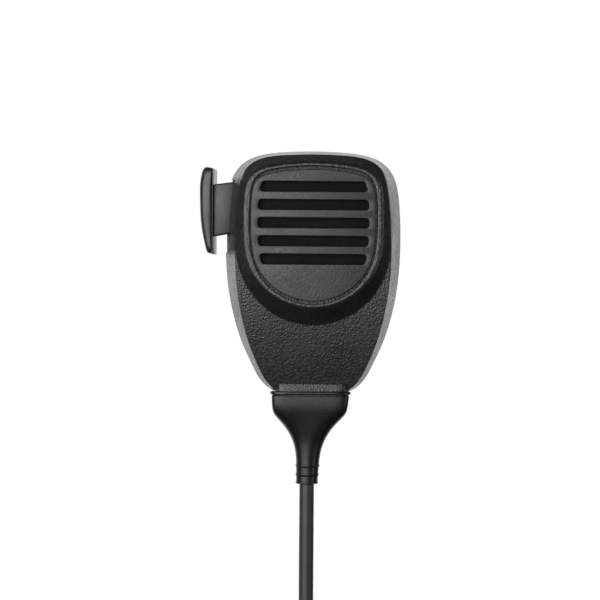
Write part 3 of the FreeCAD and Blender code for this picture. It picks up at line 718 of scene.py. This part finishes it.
def tie_line(gap, count):
    """Evenly spread points of a taut loop round the bundle, and the directions away from it."""
    turn = np.linspace(0, TAU, 1440, endpoint=False)
    out = np.stack([np.cos(turn), np.sin(turn)], 1)
    reach = np.array([out @ (x, y) + r for x, y, r in TIE_ROUND])
    best = reach.argmax(0)
    middle = np.array([TIE_ROUND[k][:2] for k in best])
    radius = np.array([TIE_ROUND[k][2] for k in best])[:, None]
    points = middle + out * (radius + gap)
    closed = np.concatenate([points, points[:1]])
    even, _ = resample(np.concatenate([closed, np.zeros((len(closed), 1))], 1), 0.1)
    pick = np.linspace(0, len(even) - 1, count + 1)[:-1].astype(int)
    points = even[pick, :2]
    along = np.roll(points, -1, 0) - np.roll(points, 1, 0)
    along /= np.linalg.norm(along, axis=1)[:, None]
    return points, np.stack([along[:, 1], -along[:, 0]], 1)


def make_tie():
    points, away = tie_line(TIE_GAP + TIE_THICK / 2, 260)
    low, high = TIE_Z
    half, middle, e = TIE_THICK / 2, (low + high) / 2, TIE_EDGE
    section = [
        (half, low + e), (half, middle), (half, high - e), (half - e, high), (e - half, high),
        (-half, high - e), (-half, middle), (-half, low + e), (e - half, low), (half - e, low),
    ]
    loops = []
    for (x, y), (ax, ay) in zip(points, away):
        loops.append([(x + ax * off, y + ay * off, z) for off, z in section])
    tie = loft("hank_tie", loops, "tie_strap", closed=True, smooth_deg=50)
    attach(tie, "mic")
    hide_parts("cord_tie")


make_tie()

# ---- CAD parts that stay, painted with their own materials ----

for node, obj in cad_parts.items():
    if slot_of[node] in mats:
        paint(obj, slot_of[node])

# ---- light and floor ----

BEHIND_WAY = (-0.1, 0.99, 0.1)
BEHIND_FROM, BEHIND_FULL, DIM, BRIGHT = 0.4, 0.88, 0.015, 1.6
FLOOR_R, FLOOR_Z = 0.9, -0.32


def make_world():
    """White to the camera, and to the object bright from behind, dim from the sides and in front."""
    world = bpy.data.worlds.new("world")
    bpy.context.scene.world = world
    world.use_nodes = True
    tree = world.node_tree
    tree.nodes.clear()
    way = tree.nodes.new("ShaderNodeTexCoord")
    towards = tree.nodes.new("ShaderNodeVectorMath")
    towards.operation = "DOT_PRODUCT"
    towards.inputs[1].default_value = BEHIND_WAY
    tree.links.new(way.outputs["Generated"], towards.inputs[0])
    behind = tree.nodes.new("ShaderNodeMapRange")
    behind.interpolation_type = "SMOOTHSTEP"
    for i, value in enumerate((BEHIND_FROM, BEHIND_FULL, DIM, BRIGHT)):
        behind.inputs[i + 1].default_value = value
    tree.links.new(towards.outputs["Value"], behind.inputs["Value"])
    lit, seen = tree.nodes.new("ShaderNodeBackground"), tree.nodes.new("ShaderNodeBackground")
    tree.links.new(behind.outputs["Result"], lit.inputs["Strength"])
    seen.inputs["Strength"].default_value = 1.0
    for shader in (lit, seen):
        shader.inputs["Color"].default_value = (1, 1, 1, 1)
    path = tree.nodes.new("ShaderNodeLightPath")
    mix = tree.nodes.new("ShaderNodeMixShader")
    tree.links.new(path.outputs["Is Camera Ray"], mix.inputs["Fac"])
    tree.links.new(lit.outputs[0], mix.inputs[1])
    tree.links.new(seen.outputs[0], mix.inputs[2])
    out = tree.nodes.new("ShaderNodeOutputWorld")
    tree.links.new(mix.outputs[0], out.inputs["Surface"])


def softbox(name, azimuth, elevation, width, height, radiance):
    """Area light 1 m from the case: azimuth 0 is in front and grows to the right."""
    data = bpy.data.lights.new(name, "AREA")
    data.shape = "RECTANGLE"
    data.size, data.size_y = width, height
    data.energy = radiance * math.pi * width * height
    light = bpy.data.objects.new(name, data)
    a, e = math.radians(azimuth), math.radians(elevation)
    middle = Vector((0, CASE_MID_Y, CAM_Z))
    way = Vector((math.sin(a) * math.cos(e), -math.cos(a) * math.cos(e), math.sin(e)))
    light.location = middle + way
    light.rotation_euler = way.to_track_quat("Z", "Y").to_euler()
    light.visible_camera = False
    bpy.context.scene.collection.objects.link(light)


make_world()
softbox("key", -22, 6, 0.95, 0.75, 5.3)
softbox("left_strip", -54, 5, 0.14, 0.9, 6.0)
softbox("right_strip", 66, 5, 0.2, 0.9, 3.6)


def make_floor():
    """Pale disc under the object that fades out towards its edge."""
    bm = bmesh.new()
    bmesh.ops.create_circle(bm, cap_ends=True, segments=96, radius=FLOOR_R)
    mesh = bpy.data.meshes.new("floor")
    bm.to_mesh(mesh)
    bm.free()
    floor = bpy.data.objects.new("floor", mesh)
    floor.location = (0, CASE_MID_Y, FLOOR_Z)
    bpy.context.scene.collection.objects.link(floor)
    n = Nodes("floor", (0.86, 0.86, 0.86), 0.7)
    away = n.add("ShaderNodeVectorMath", {0: n.place}, operation="LENGTH").outputs["Value"]
    n.link(n.ramp(away, 1.0, 0.0, FLOOR_R * 0.3, FLOOR_R * 0.95), "Alpha")
    mesh.materials.append(n.material)
    floor.visible_glossy = floor.visible_diffuse = False


make_floor()
bpy.context.scene.view_settings.view_transform = "Standard"
